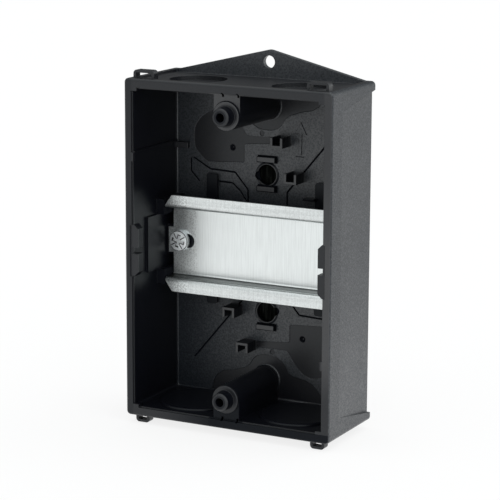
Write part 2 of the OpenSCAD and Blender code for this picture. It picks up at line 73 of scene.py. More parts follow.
# Stretches over which the painted light and shade in the plastic's sheen change slowly, measured from the
# middle of the box
SILL_FADE = (-32 * MM, 0.0)
SIDE_FADE = (-50 * MM, 0.0)
JAMB_FADE_UP = (0.0, 35 * MM)
JAMB_FADE_DOWN = (-48 * MM, -28 * MM)
WALL_FADE_UP = (-20 * MM, 20 * MM)
WALL_FADE_ACROSS = (-15 * MM, 10 * MM)
# Depths in the base, from the wall side: sunk lines, smooth fields, grained back wall and inner faces
# darkened by painted shade
LINE_FROM = 1.5 * MM
FIELD_FROM = 2.25 * MM
FIELD_TO = 2.48 * MM
WALL_TO = 2.95 * MM
DEEP_FROM = 3.6 * MM
DEEP_TO = 33.3 * MM
# Depths of single front faces, and where the stops, posts, rim and bosses begin or end
BAR_FACE = 4.2 * MM
TAB_FACE = 4.6 * MM
CLIP_FACE = 9.4 * MM
STOP_TO = 19 * MM
POST_FROM = 33.3 * MM
RIM_FROM = 34.2 * MM
BOSS_FROM = 34.7 * MM
BOSS_TO = 38.05 * MM
# Distances from the upright middle line: post webs, clips, rail stops, side rims and outer sides
POST_HALF = 6.6 * MM
CLIP_HALF = 15 * MM
STOP_FACE = 33.6 * MM
JAMB_FROM = 36.5 * MM
SIDE_FROM = 38.6 * MM
# Distances above or below the middle: two rows of bars, clips, bosses, lower rim and the inside of the box
BAR_NEAR = 20 * MM
BAR_FAR = 30.5 * MM
CLIP_FROM = 20 * MM
CLIP_TO = 41 * MM
BOSS_RISE = 49.8 * MM
SILL_DOWN = 57.2 * MM
INSIDE_UP = 57.6 * MM
# A bar's size, the line round its foot and the border of its face, both darkened by painted shade
BAR_LEN = 7.2 * MM
BAR_W = 2 * MM
BAR_LINE = 0.35 * MM
BAR_EDGE = 0.22 * MM
# Radii about a boss: inner edges of the bright rings on tip and upper post, set off by painted light and
# shade, the post, and the painted shadow arc round it
BOSS_RING = 2.3 * MM
POST_RING = 4 * MM
POST_R = 5 * MM
ARC_FROM = 4.98 * MM
ARC_TO = 5.25 * MM
# Places on the rail: flanges, mottled left end and cut ends from its middle, flanks and their roots by depth
FLANGE_FROM = 13.2 * MM
END_FROM = 22.5 * MM
CUT_FROM = 31.5 * MM
FLANK_FROM = 12.3 * MM
ROOT_TO = 13.5 * MM
FLANK_TO = 17.3 * MM
# Widths over which the flanges' finish and the mottle of the left end set in
FOLD = 1.2 * MM
END_FADE = 2 * MM
# Strength of the rail's bands and streaks, of the painted shade on its flanks and their roots, and of its
# mottle
BAND_SHADE = 0.7
STREAK_SHADE = 0.12
FLANK_SHADE = 0.78
ROOT_SHADE = 0.22
END_MOTTLE = 0.7
FLANGE_MOTTLE = 0.2
# Brightness of the zinc's brightest places, and of the screws' dull and bright patches
RAIL_BRIGHTEST = 1.02
SCREW_TONES = (0.8, 1.06)
# Edge softness, grain depth and change of roughness of the screws
SCREW_EDGE = 0.06 * MM
SCREW_GRAIN_DEPTH = 0.004 * MM
SCREW_UNEVEN = 0.2
# Scale of streaks along X, Y and Z, small where they are drawn out, and levels where they begin and are full
STREAK_STRETCH = (1.0, 1.0, 0.04)
BAND_STRETCH = (0.03, 1.0, 1.0)
ROLLED_LEVELS = (0.35, 0.65)
# The socket skins' streaks are painted highlights
SKIN_STRETCH = (1.0, 1.0, 0.12)
SKIN_LEVELS = (0.45, 0.72)
# Brightness of the painted highlight streaks on the socket skins, beside their colour
SKIN_PAINTED_HIGHLIGHT = 9.0
# Change of the roughness over patches and streaks
UNEVEN = 0.05
# Index and roughness of the plastic's waxy sheen, and how far a painted shade dims the sheen of a boss's tip
# inside its ring
COAT_IOR = 1.7
COAT_ROUGHNESS = 0.4
TIP_PAINTED_SHADE = 0.75
# Shares of colour and sheen that follow the grain, and what is left of the grain on smoother faces
GRAIN_TONE = 0.6
MOTTLE = 0.9
POLISHED_MOTTLE = 0.15
POLISHED_RELIEF = 0.3
FIELD_RELIEF = 0.15
# Painted light in the sheen of the outer sides: share at the middle, change per metre up and out, and gain
# at the lower end
SIDE_LEVEL = 1.03
SIDE_UP = -1.9
SIDE_OUT = 4.4
SIDE_LOW = 0.28
# Painted reflection gained by the right rim up to the middle and at the top, and painted shade on the left
# rim and on the lower left of the back wall
JAMB_MID = 1.25
JAMB_TOP = 0.45
LEFT_LOSS = 0.26
WALL_LOSS = 0.4
# Ends of the marks on a screw's face: half slot widths from its middle, and roundings from its edge
MARK_NEAR = 1.75
MARK_FAR = 1.6
# Greatest length of a mitre, in widths of the sloping side
MITRE_LIMIT = 3
# Gap between the part and the floor
FLOOR_GAP = 0.05 * MM
# Directions over which the sky changes towards the front and the right, and how late it brightens upwards
SKY_FRONT_FADE = (-0.2, 0.7)
SKY_SIDE_FADE = (0.0, 0.6)
SKY_RISE = 3.0

bl_info = {
    "name": "Switch enclosure looks",
    "version": (1, 0, 0),
    "blender": (4, 5, 0),
    "location": "View3D > Sidebar > Enclosure",
    "description": "Finishes, screws, moulded mark and stage for a switch enclosure base",
    "category": "Object",
}


def size_mm(node):
    """Lowest corner and size of a node, in millimetres."""
    low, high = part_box(node)
    return Vector(low) / MM, (Vector(high) - Vector(low)) / MM


SCREW_LOW, SCREW_SIZE = size_mm(SCREWS)


def length_prop(name, description, default, low=0.0, high=100.0):
    """A length in millimetres as a property in metres."""
    return FloatProperty(
        name=name, description=description, unit="LENGTH", min=low * MM, max=high * MM, default=default * MM)


def factor_prop(name, description, default):
    """A value from 0 to 1."""
    return FloatProperty(
        name=name, description=description, subtype="FACTOR", min=0, max=1, default=default)


def value_prop(name, description, default, low=0.0, high=10.0):
    """A plain value, such as a brightness."""
    return FloatProperty(name=name, description=description, min=low, max=high, default=default)


def angle_prop(name, description, degrees):
    """An angle, given in degrees."""
    return FloatProperty(
        name=name, description=description, subtype="ANGLE", default=math.radians(degrees))


def colour_prop(name, description, default):
    """A colour."""
    return FloatVectorProperty(
        name=name, description=description, subtype="COLOR", size=3, min=0, max=1, default=default)


def sides_prop(default, high=128):
    """Number of sides of the turned shapes."""
    return IntProperty(
        name="Segments", description="Sides of the turned shapes", min=16, max=high, default=default)


class PlasticSettings(bpy.types.PropertyGroup):
    """Black moulded plastic."""

    colour: colour_prop("Polished colour", "Colour of the polished faces", (0.0034, 0.0038, 0.0062))
    grained_colour: colour_prop("Grained colour", "Colour of the grained faces", (0.0088, 0.0128, 0.0185))
    shine_tint: colour_prop("Tint of the shine", "Colour of the mirrored light", (0.86, 0.96, 1.0))
    roughness: factor_prop("Roughness", "Roughness of the spark-eroded faces", 0.46)
    polished_roughness: factor_prop("Polished roughness", "Roughness of the polished faces", 0.34)
    smooth_roughness: factor_prop("Smooth roughness", "Roughness of the smooth fields", 0.24)
    line_roughness: factor_prop("Line roughness", "Roughness of the sunk lines", 0.9)
    ior: value_prop("Index of refraction", "Strength of the plastic's own shine", 1.24, 1.2, 2.0)
    sheen: factor_prop("Sheen", "Waxy sheen of the polished faces", 0.44)
    # The low deep sheen is a painted shade on the faces inside the box
    deep_sheen: factor_prop("Deep sheen", "Waxy sheen of the dark faces inside the box", 0.09)
    # The back wall sheen also paints highlights on the socket collars, the fronts of clips, bars and tabs,
    # and the upper post
    wall_sheen: factor_prop("Back wall sheen", "Waxy sheen of the grained back wall", 0.9)
    side_sheen: factor_prop("Side sheen", "Waxy sheen of the outer sides", 0.54)
    grain: length_prop("Grain size", "Size of the spark-eroded grain", 0.62, 0.05, 5)
    grain_depth: length_prop("Grain depth", "Depth of the spark-eroded grain", 0.02, 0, 1)
    edge: length_prop("Edge radius", "Softness of the moulded edges", 0.22, 0, 2)


class RailSettings(bpy.types.PropertyGroup):
    """Zinc-plated sheet steel."""

    colour: colour_prop("Colour", "Colour of the zinc", (0.83, 0.87, 0.866))
    roughness: factor_prop("Roughness", "Roughness of the rolled sheet", 0.33)
    # The darkest places are the flanks, their roots and the flank ends, darkened by painted shade
    darkest: factor_prop("Darkest shade", "How much duller the darkest places are", 0.9)
    flange_shade: factor_prop("Flange shade", "How much duller the folded flanges are", 0.12)
    band: length_prop("Band width", "Width of the bands from the folding rolls", 1.1, 0.05, 10)
    streak: length_prop("Streak width", "Width of the rolling streaks", 0.5, 0.05, 10)
    patch: length_prop("Patch size", "Size of the patches of uneven gloss", 9, 1, 50)
    grain: length_prop("Grain size", "Size of the sheet's grain", 0.5, 0.05, 5)
    grain_depth: length_prop("Grain depth", "Depth of the sheet's grain", 0.003, 0, 1)
    edge: length_prop("Edge radius", "Softness of the cut edges", 0.12, 0, 1)


class ScrewSettings(bpy.types.PropertyGroup):
    """The two pan-head screws."""

    colour: colour_prop("Colour", "Colour of the plating", (0.91, 0.94, 0.97))
    roughness: factor_prop("Roughness", "Least roughness of the plating", 0.46)
    head_d: length_prop("Head diameter", "Diameter of the head", SCREW_SIZE.z + 0.9, 2, 20)
    head_h: length_prop("Head height", "Height of the head", 2.1, 0.5, 10)
    head_edge: length_prop("Face edge", "Rounding of the face's edge", 0.36, 0.05, 2)
    crown: length_prop("Crown", "Height of the face's dome", 0.3, 0, 2)
    slot_len: length_prop("Slot length", "Length of the driver slot", 5.2, 1, 10)
    cross_len: length_prop("Cross length", "Length of the short arms of the cross", 4.8, 1, 10)
    slot_w: length_prop("Slot width", "Width of the driver slot", 1.3, 0.3, 3)
    slot_depth: length_prop("Slot depth", "Depth of the driver slot", 0.6, 0.3, 3)
    slot_foot: factor_prop("Slot foot", "Size of the slot's floor beside its mouth", 0.8)
    knee: length_prop("Knee", "Width of the slanting corners of the cross", 0.25, 0, 1)
    mark_w: length_prop("Mark width", "Width of the four thin marks between the arms", 0.36, 0.05, 1)
    mark_h: length_prop("Mark height", "Height of the four thin marks", 0.04, 0.01, 1)
    slot_turn: angle_prop("Slot turn", "Turn of the left screw's slot", -14)
    right_turn: angle_prop("Right slot turn", "Turn of the right screw's slot", 30.8)
    # The recess shade is a painted shade on the recess walls, the face's edge line and the four marks
    recess_shade: factor_prop("Recess shade", "How much duller the recess and the edge line are", 0.93)
    core_d: length_prop("Core diameter", "Diameter of the thread's core", 2.9, 1, 10)
    thread_d: length_prop("Thread diameter", "Diameter over the thread", 3.96, 1, 10)
    pitch: length_prop("Pitch", "Pitch of the thread", 1.4, 0.3, 4)
    grain: length_prop("Grain size", "Size of the plating's grain", 0.35, 0.05, 5)
    patch: length_prop("Patch size", "Size of the plating's patches", 2, 0.5, 20)
    segments: sides_prop(64)


class SocketSettings(bpy.types.PropertyGroup):
    """Near-black skins and cups at the bottom of the two blind sockets, a painted shade."""

    colour: colour_prop("Colour", "Colour of the skin", (0.0016, 0.0018, 0.0016))
    rise: length_prop("Distance from the middle", "Distance of each socket from the centre", 25, 5, 50)
    bore_d: length_prop("Bore", "Diameter of the socket", 7.4, 2, 20)
    skin: length_prop("Skin", "Thickness of the skin that closes the socket", 0.6, 0.2, 4)
    # The cup lines the foot of the bore with the same painted shade
    wall_h: length_prop("Cup height", "How far the dark cup comes up the bore", 0.9, 0.2, 4)
    wall_t: length_prop("Cup wall", "Thickness of the dark cup", 0.05, 0.02, 0.4)
    # The streaks are painted highlights
    streak: length_prop("Streak width", "Width of the faint streaks", 0.8, 0.05, 10)
    segments: sides_prop(64)


class PadSettings(bpy.types.PropertyGroup):
    """Round rims of the four pads behind the knock-outs."""

    pitch: length_prop("Pitch", "Centre distance of two pads", 40, 20, 60)
    depth: length_prop("Depth", "Distance of the pads' centres from the wall side", 17, 8, 30)
    rise: length_prop("Rise", "Distance of the end walls' inner faces from the middle", 57, 20, 90)
    outer_d: length_prop("Outer diameter", "Diameter at the foot of the rim", 28.2, 10, 40)
    round_w: length_prop("Round width", "Width of the round flank", 1.1, 0.2, 4)
    rim_w: length_prop("Rim width", "Width of the whole rim", 1.98, 0.2, 6)
    height: length_prop("Height", "Height of the rim above the end wall", 0.74, 0.2, 3)
    pad_h: length_prop("Pad height", "Height of the rim's inner edge", 0.58, 0.1, 3)
    sunk: length_prop("Sunk", "How far the rim's foot sits in the end wall", 0.1, 0, 1)
    segments: sides_prop(128, 256)


class ArrowSettings(bpy.types.PropertyGroup):
    """Raised arrow on the back wall."""

    tip_right: length_prop("Tip, right", "Place of the arrow's tip, right of the centre", 13.0, -40, 40)
    tip_up: length_prop("Tip, up", "Place of the arrow's tip above the centre", 44.9, -60, 60)
    length: length_prop("Length", "Length of the arrow", 11.8, 4, 40)
    head_len: length_prop("Head length", "Length of the arrow's head", 4.6, 1, 20)
    neck_len: length_prop("Neck", "Distance of the head's inner corners from the tip", 4.416, 1, 20)
    head_w: length_prop("Head width", "Width over the barbs", 5.2, 2, 20)
    shaft_w: length_prop("Shaft width", "Width of the shaft", 1.5, 0.5, 10)
    foot_w: length_prop("Foot width", "Width of the small bar below the arrow", 3.4, 0.5, 10)
    foot_h: length_prop("Foot height", "Height of the small bar below the arrow", 0.55, 0.1, 5)
    foot_gap: length_prop("Foot gap", "Gap between the arrow and the small bar", 0.5, 0.1, 5)
    height: length_prop("Height", "Height of the arrow above the back wall", 0.3, 0.05, 1)
    flank: length_prop("Flank", "Width of the arrow's sloping sides", 0.18, 0.02, 1)
    wall: length_prop("Back wall", "Distance of the back wall's face from the wall side", 2.6, 1, 10)
    lean: angle_prop("Lean", "Turn of the arrow from upright", -1.6)


class StageSettings(bpy.types.PropertyGroup):
    """Floor, sky and camera."""

    floor_colour: colour_prop("Floor colour", "Colour of the floor", (0.93, 0.93, 0.93))
    floor_white: factor_prop("Floor white", "Share of plain white in the floor that is seen", 0.82)
    sky_colour: colour_prop("Sky colour", "Colour of the sky", (0.975, 1.0, 1.0))
    sky_top: value_prop("Sky above", "Brightness of the sky overhead", 1.7)
    sky_back: value_prop("Sky low behind", "Brightness at the horizon behind the part", 0.06)
    sky_front: value_prop("Sky low in front", "Brightness at the horizon in front of the part", 0.8)
    sky_side: value_prop("Sky low at the right", "Brightness at the horizon right of the part", 1.5)
    azimuth: angle_prop("Azimuth", "Turn of the camera to the right of the front", 27.4119)
    elevation: angle_prop("Elevation", "Height of the camera above the horizon", 11.8718)
    roll: angle_prop("Roll", "Roll of the camera", 0.2582)
    lens: FloatProperty(
        name="Lens", description="Focal length on a 36 mm sensor", unit="CAMERA", min=20, max=400,
        default=151.176)
    place: FloatVectorProperty(
        name="Camera place", description="Place of the camera", subtype="TRANSLATION", unit="LENGTH", size=3,
        default=(0.3323029, -0.6566717, 0.1518881))


def link(source, target):
    """Joins two node sockets."""
    target.id_data.links.new(source, target)


def fill(node, **values):
    """Sets some of a node's settings and input defaults; gives the node."""
    for key, value in values.items():
        if hasattr(node, key):
            setattr(node, key, value)
        else:
            node.inputs[key.replace("_", " ")].default_value = value
    return node


def add(tree, kind, **values):
    """New node, filled in."""
    return fill(tree.nodes.new(kind), **values)


def math_node(operation, *values, clamp=False):
    """Math node on sockets and numbers, in the sockets' node tree; gives its output socket."""
    tree = next(value.id_data for value in values if not isinstance(value, (int, float)))
    node = add(tree, "ShaderNodeMath", operation=operation, use_clamp=clamp)
    for target, value in zip(node.inputs, values):
        if isinstance(value, (int, float)):
            target.default_value = value
        else:
            link(value, target)
    return node.outputs[0]


def scaled(value, factor, plus=0.0):
    """Value times a factor, plus something."""
    return math_node("MULTIPLY_ADD", value, factor, plus)


def distance(value):
    """Value without its sign."""
    return math_node("ABSOLUTE", value)


def above(value, limit):
    """Mask of a value above a limit."""
    return math_node("GREATER_THAN", value, limit)


def below(value, limit):
    """Mask of a value below a limit."""
    return math_node("LESS_THAN", value, limit)


def both(first, *others):
    """Product; of masks, where all of them hold."""
    for other in others:
        first = math_node("MULTIPLY", first, other)
    return first


def either(first, *others):
    """Mask where any of the masks holds."""
    for other in others:
        first = math_node("MAXIMUM", first, other)
    return first


def without(first, *others):
    """Mask less the places of other masks."""
    for other in others:
        first = math_node("SUBTRACT", first, other, clamp=True)
    return first


def between(value, low, high):
    """Mask of a value between two limits."""
    return both(above(value, low), below(value, high))


def around(value, middle):
    """Mask of a value close to the place of a face."""
    return between(value, middle - FACE, middle + FACE)


def map_range(value, low, high, out_low=0.0, out_high=1.0):
    """Maps a socket softly from one range to another; gives the output socket."""
    node = add(
        value.id_data, "ShaderNodeMapRange", interpolation_type="SMOOTHSTEP", From_Min=low, From_Max=high,
        To_Min=out_low, To_Max=out_high)
    link(value, node.inputs["Value"])
    return node.outputs["Result"]


def new_group(name, inputs, outputs):
    """Empty shader node group with named value sockets; gives it with its two ends."""
    group = bpy.data.node_groups.new(name, "ShaderNodeTree")
    for label, default in inputs:
        socket = group.interface.new_socket(name=label, in_out="INPUT", socket_type="NodeSocketFloat")
        socket.default_value = default
    for label in outputs:
        group.interface.new_socket(name=label, in_out="OUTPUT", socket_type="NodeSocketFloat")
    return group, group.nodes.new("NodeGroupInput"), group.nodes.new("NodeGroupOutput")


def object_place(tree):
    """Socket with the place on the object, in metres."""
    return tree.nodes.new("ShaderNodeTexCoord").outputs["Object"]


def split_place(tree):
    """Sockets with the distance to the right, the depth from the wall side and the height."""
    place = tree.nodes.new("ShaderNodeSeparateXYZ")
    link(object_place(tree), place.inputs["Vector"])
    return place.outputs["X"], scaled(place.outputs["Y"], -1.0), place.outputs["Z"]


def grain_group():
    """Fine moulded or rolled grain: a height and a mask, at a given size."""
    name = "Fine grain"
    if name in bpy.data.node_groups:
        return bpy.data.node_groups[name]
    group, enter, leave = new_group(name, [("Size", 0.5 * MM)], ("Height", "Mask"))
    place = object_place(group)
    scale = math_node("DIVIDE", 1.0, enter.outputs["Size"])
    pits = add(group, "ShaderNodeTexVoronoi", feature="SMOOTH_F1", distance="EUCLIDEAN", Smoothness=0.6)
    link(place, pits.inputs["Vector"])
    link(scale, pits.inputs["Scale"])
    cloud = add(group, "ShaderNodeTexNoise", Detail=3.0, Roughness=0.62)
    link(place, cloud.inputs["Vector"])
    link(scaled(scale, 1.7), cloud.inputs["Scale"])
    height = scaled(pits.outputs["Distance"], 0.55, cloud.outputs["Fac"])
    link(height, leave.inputs["Height"])
    link(map_range(height, 0.45, 1.15), leave.inputs["Mask"])
    return group


def handling_group():
    """Broad patches of uneven gloss from handling."""
    name = "Handling"
    if name in bpy.data.node_groups:
        return bpy.data.node_groups[name]
    group, enter, leave = new_group(name, [("Patch size", 12 * MM)], ("Patches",))
    broad = add(group, "ShaderNodeTexNoise", Detail=4.0, Roughness=0.55)
    link(object_place(group), broad.inputs["Vector"])
    link(math_node("DIVIDE", 1.0, enter.outputs["Patch size"]), broad.inputs["Scale"])
    link(map_range(broad.outputs["Fac"], 0.3, 0.7), leave.inputs["Patches"])
    return group


def use_group(tree, group, **values):
    """Places a node group in a material with its own values."""
    return add(tree, "ShaderNodeGroup", node_tree=group, **values)


def new_material(name):
    """Material with a bare Principled shader and its output."""
    material = bpy.data.materials.new(name)
    material.use_nodes = True
    tree = material.node_tree
    tree.nodes.clear()
    shader = tree.nodes.new("ShaderNodeBsdfPrincipled")
    output = tree.nodes.new("ShaderNodeOutputMaterial")
    link(shader.outputs["BSDF"], output.inputs["Surface"])
    return material, tree, shader


def mix_colour(factor, first, second):
    """Colour between two fixed colours; gives the output socket."""
    node = add(factor.id_data, "ShaderNodeMix", data_type="RGBA")
    link(factor, node.inputs["Factor"])
    for socket in node.inputs:
        if socket.identifier == "A_Color":
            socket.default_value = (*first, 1)
        if socket.identifier == "B_Color":
            socket.default_value = (*second, 1)
    return [socket for socket in node.outputs if socket.type == "RGBA"][0]


def brighter(colour, factor):
    """A colour scaled by a factor."""
    return tuple(min(1.0, channel * factor) for channel in colour)


def stretched_noise(tree, width, stretch, low, high):
    """Mask of streaks of a given width, drawn out along the axes with a small stretch value."""
    mapping = add(tree, "ShaderNodeMapping", Scale=stretch)
    link(object_place(tree), mapping.inputs["Vector"])
    noise = add(tree, "ShaderNodeTexNoise", Detail=4.0, Roughness=0.6, Scale=1.0 / width)
    link(mapping.outputs["Vector"], noise.inputs["Vector"])
    return map_range(noise.outputs["Fac"], low, high)


def soft_normal(shader, radius, height, depth):
    """Normal with rounded edges and a fine relief on top."""
    edge = add(shader.id_data, "ShaderNodeBevel", samples=6, Radius=radius)
    bump = add(shader.id_data, "ShaderNodeBump", Distance=depth)
    link(height, bump.inputs["Height"])
    link(edge.outputs["Normal"], bump.inputs["Normal"])
    link(bump.outputs["Normal"], shader.inputs["Normal"])
    link(edge.outputs["Normal"], shader.inputs["Coat Normal"])


def bar_masks(length, rise, depth):
    """Masks of the bars' front faces, with a painted highlight, and of their sides and a line round the
    foot, darkened by painted shade.
    """
    zones = []
    for more in (BAR_LINE, -BAR_EDGE):
        reach = BAR_W / 2 + more
        rows = [between(rise, at - reach, at + reach) for at in (BAR_NEAR, BAR_FAR)]
        zones.append(both(either(*rows), below(length, BAR_LEN / 2 + more)))
    face = both(zones[1], around(depth, BAR_FACE))
    low = both(zones[0], between(depth, LINE_FROM, BAR_FACE + FACE))
    return face, without(low, face)


def post_masks(length, up, rise, depth):
    """Masks of the upper post's front with a painted highlight, of the parts of the bosses and the lower
    post dimmed by painted shade, and of the painted shadow arc round the post.
    """
    from_boss = math_node("POWER", math_node("SUBTRACT", rise, BOSS_RISE), 2.0)
    from_boss = math_node("SQRT", scaled(length, length, from_boss))
    front = between(depth, POST_FROM, BOSS_FROM)
    upper = both(front, between(up, BOSS_RISE - POST_R, SILL_DOWN))
    web = below(length, POST_HALF)
    bright = both(upper, web, above(from_boss, POST_RING))
    flank = between(depth, BOSS_FROM, BOSS_TO)
    tip = both(above(depth, BOSS_TO), below(from_boss, BOSS_RING))
    foot = both(front, web, below(up, -BOSS_RISE), above(from_boss, POST_R))
    dull = either(flank, scaled(tip, TIP_PAINTED_SHADE), foot)
    arc = both(upper, between(from_boss, ARC_FROM, ARC_TO))
    return bright, dull, arc


def painted_side_sheen(up, depth):
    """Slow change of the outer sides' sheen, a painted light: more towards the rim and the lower end."""
    level = SIDE_LEVEL - SIDE_OUT * RIM_FROM / 2
    level = scaled(depth, SIDE_OUT, scaled(up, SIDE_UP, level))
    return math_node("ADD", level, map_range(up, *SIDE_FADE, SIDE_LOW, 0.0))


def painted_rim_and_wall_sheen(across, up, rim, wall):
    """Slow change of the other sheen: a painted reflection on the right rim, painted shade on the left rim
    and lower left wall.
    """
    right = both(
        map_range(across, JAMB_FROM, JAMB_FROM + MM), map_range(up, *JAMB_FADE_DOWN),
        map_range(up, *JAMB_FADE_UP, JAMB_MID, JAMB_TOP))
    left = map_range(across, -JAMB_FROM - MM, -JAMB_FROM, LEFT_LOSS, 0.0)
    level = scaled(rim, math_node("SUBTRACT", right, left), 1.0)
    loss = both(
        wall, map_range(up, *WALL_FADE_UP, WALL_LOSS, 0.0), map_range(across, *WALL_FADE_ACROSS, 1.0, 0.0))
    return math_node("SUBTRACT", level, loss)


def finish_and_painted_light_masks(tree):
    """Masks of the finishes by place, of the painted highlights and shade, and the painted slow changes of
    the sheen.
    """
    across, depth, up = split_place(tree)
    length, rise = distance(across), distance(up)
    side = both(above(length, SIDE_FROM), below(depth, RIM_FROM))
    inside = without(below(rise, INSIDE_UP), side)
    rim = above(depth, RIM_FROM)
    bar_face, bar_foot = bar_masks(length, rise, depth)
    post, boss, arc = post_masks(length, up, rise, depth)
    stop = both(around(length, STOP_FACE), between(depth, CLIP_FACE, STOP_TO))
    clip = both(around(depth, CLIP_FACE), below(length, CLIP_HALF), between(rise, CLIP_FROM, CLIP_TO))
    tab = both(around(depth, TAB_FACE), inside, below(length, JAMB_FROM - FACE))
    # Painted highlights: the fronts of clips, bars and tabs get the back wall's sheen
    faces = either(clip, bar_face, tab)
    field = both(between(depth, FIELD_FROM, FIELD_TO), inside)
    line = both(between(depth, LINE_FROM, FIELD_FROM), inside)
    # Painted shade: the bar feet, the arc round the post and the rail stops join the sunk lines, which lose
    # their sheen
    line = either(line, bar_foot, arc, stop)
    wall = without(below(depth, WALL_TO), side, field, line)
    # Painted highlight on the socket collars
    collar = both(between(depth, WALL_TO, DEEP_FROM), inside)
    # Painted shade on the faces inside the box
    deep = both(between(depth, DEEP_FROM, DEEP_TO), inside)
    # Painted shade on the lower rim, fading out towards its left end
    sill = both(rim, below(up, -SILL_DOWN), map_range(across, *SILL_FADE))
    inner_wall = both(wall, above(depth, LINE_FROM))
    return {
        "side": side, "field": field, "line": line, "grained": either(side, wall),
        "deep": without(deep, faces), "bright": either(wall, collar, faces, post),
        "dull": either(sill, boss, line), "painted_side_sheen": painted_side_sheen(up, depth),
        "painted_rim_and_wall_sheen": painted_rim_and_wall_sheen(across, up, rim, inner_wall),
    }


def plastic_material(settings):
    """Black moulded plastic: spark-eroded outside and back wall, polished inside, smooth fields, with
    painted highlights, reflections and shade in its sheen.
    """
    material, tree, shader = new_material("black_plastic_moulded")
    grain = use_group(tree, grain_group(), Size=settings.grain)
    handling = use_group(tree, handling_group())
    masks = finish_and_painted_light_masks(tree)
    grained, field = masks["grained"], masks["field"]
    tone = both(scaled(grain.outputs["Mask"], GRAIN_TONE, 1.0 - GRAIN_TONE), grained)
    link(mix_colour(tone, settings.colour, settings.grained_colour), shader.inputs["Base Color"])
    polish = settings.polished_roughness
    rough = scaled(handling.outputs["Patches"], UNEVEN, polish - UNEVEN / 2)
    rough = scaled(grained, settings.roughness - polish, rough)
    rough = scaled(field, settings.smooth_roughness - polish, rough)
    rough = scaled(masks["line"], settings.line_roughness - polish, rough)
    link(rough, shader.inputs["Roughness"])
    relief = scaled(grained, 1.0 - POLISHED_RELIEF, POLISHED_RELIEF)
    relief = scaled(field, FIELD_RELIEF - POLISHED_RELIEF, relief)
    height = both(grain.outputs["Height"], relief)
    soft_normal(shader, settings.edge, height, settings.grain_depth)
    # Painted light and shade in the sheen: slow changes on the sides, rims and back wall, highlights on
    # bright faces, shade on deep inner faces
    outer = scaled(masks["painted_side_sheen"], settings.side_sheen, -settings.sheen)
    sheen = scaled(masks["side"], outer, settings.sheen)
    sheen = scaled(masks["bright"], settings.wall_sheen - settings.sheen, sheen)
    sheen = scaled(masks["deep"], settings.deep_sheen - settings.sheen, sheen)
    mottle = scaled(grain.outputs["Mask"], MOTTLE, -MOTTLE / 2)
    share = scaled(grained, 1.0 - POLISHED_MOTTLE, POLISHED_MOTTLE)
    sheen = both(sheen, scaled(mottle, share, 1.0), masks["painted_rim_and_wall_sheen"])
    # Painted shade: the sheen is taken off the lower rim, parts of the bosses and lower post, and the
    # darkened lines
    clear = without(1.0, masks["dull"])
    link(math_node("MULTIPLY", sheen, clear, clamp=True), shader.inputs["Coat Weight"])
    fill(shader, IOR=settings.ior, Specular_Tint=(*settings.shine_tint, 1))
    fill(shader, Coat_IOR=COAT_IOR, Coat_Roughness=COAT_ROUGHNESS)
    return material


def socket_shade_material(settings):
    """Near-black matt skin, a painted shade, with faint upright streaks as painted highlights."""
    material, tree, shader = new_material("socket_painted_shade")
    streak = stretched_noise(tree, settings.streak, SKIN_STRETCH, *SKIN_LEVELS)
    colour = mix_colour(streak, settings.colour, brighter(settings.colour, SKIN_PAINTED_HIGHLIGHT))
    link(colour, shader.inputs["Base Color"])
    fill(shader, Roughness=0.7, Specular_IOR_Level=0.02)
    return material


def zinc_material(settings):
    """Bright zinc-plated sheet: rolling streaks, banded flanges, flanks darkened by painted shade and a
    mottled left end, darkened a little as a painted reflection.
    """
    material, tree, shader = new_material("zinc_sheet")
    streak = stretched_noise(tree, settings.streak, STREAK_STRETCH, *ROLLED_LEVELS)
    bands = stretched_noise(tree, settings.band, BAND_STRETCH, *ROLLED_LEVELS)
    grain = use_group(tree, grain_group(), Size=settings.grain)
    handling = use_group(tree, handling_group(), Patch_size=settings.patch)
    across, depth, up = split_place(tree)
    # Painted shade: the flanks, their roots by the web and the flank ends by the cut ends are darkened
    folded = map_range(distance(up), FLANGE_FROM - FOLD, FLANGE_FROM)
    flank = between(depth, FLANK_FROM, FLANK_TO)
    root = between(depth, FLANK_FROM, ROOT_TO)
    cut = both(flank, above(distance(across), CUT_FROM))
    bands = both(scaled(bands, BAND_SHADE, -BAND_SHADE / 2), folded)
    flange = settings.flange_shade / settings.darkest
    tone = scaled(streak, STREAK_SHADE, 1.0 - STREAK_SHADE)
    shades = (folded, -flange), (bands, flange), (flank, -FLANK_SHADE), (root, -ROOT_SHADE), (cut, -1.0)
    for mask, shade in shades:
        tone = scaled(mask, shade, tone)
    # The mottle on the left end also darkens it a little on average, a painted reflection of the dark left
    # wall
    mottled = map_range(across, -END_FROM - END_FADE, -END_FROM, END_MOTTLE, 0.0)
    mottled = either(mottled, scaled(folded, FLANGE_MOTTLE))
    speck = math_node("SUBTRACT", grain.outputs["Mask"], 0.5)
    tone = math_node("MULTIPLY_ADD", speck, mottled, tone, clamp=True)
    dark = brighter(settings.colour, 1.0 - settings.darkest)
    bright = brighter(settings.colour, RAIL_BRIGHTEST)
    link(mix_colour(tone, dark, bright), shader.inputs["Base Color"])
    rough = scaled(streak, UNEVEN, settings.roughness - UNEVEN)
    rough = scaled(handling.outputs["Patches"], UNEVEN, rough)
    link(rough, shader.inputs["Roughness"])
    fill(shader, Metallic=1.0)
    soft_normal(shader, settings.edge, grain.outputs["Height"], settings.grain_depth)
    return material


